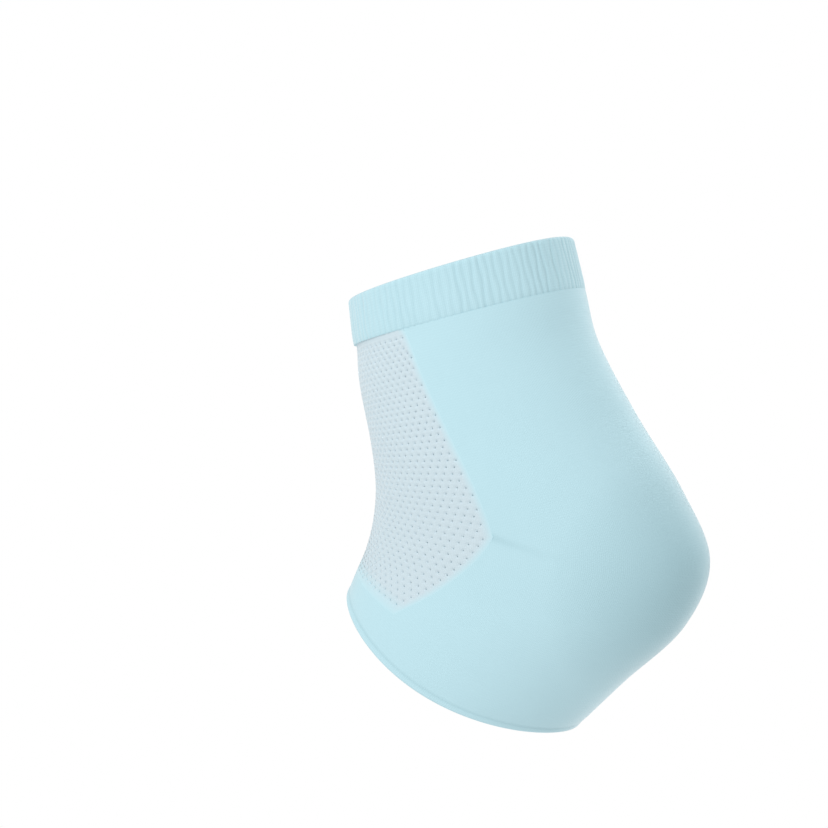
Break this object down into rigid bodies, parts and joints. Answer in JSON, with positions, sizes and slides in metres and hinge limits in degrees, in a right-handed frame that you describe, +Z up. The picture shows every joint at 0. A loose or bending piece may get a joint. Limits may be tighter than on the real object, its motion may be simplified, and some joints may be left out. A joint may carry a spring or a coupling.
{
  "type": "gel heel sock",
  "caption": "Open-toed ankle sock in the shape it takes on the foot, with a ribbed cuff, an eyelet panel over the instep and a gel pad inside the heel.",
  "frame": {"origin": "middle of the ankle cuff, on the line of the leg", "axes": "+Z up the leg, -Y towards the toes and +Y towards the heel, X from side to side"},
  "size_m": [0.071, 0.1303, 0.162],
  "materials": {
    "cuff_rib_knit": "pale blue ribbed welt, matt",
    "plain_knit": "pale blue plain jersey, matt with a soft sheen",
    "eyelet_knit": "paler grey-blue eyelet knit, thin and open",
    "hem_knit": "pale blue turned edge, matt",
    "soft_gel": "soft translucent gel, satin"
  },
  "bodies": {
    "root": {"cuff": "cuff_rib_knit", "knit_body": "plain_knit", "instep_mesh": "eyelet_knit", "foot_hem": "hem_knit", "gel_heel_pad": "soft_gel"}
  },
  "joints": []
}
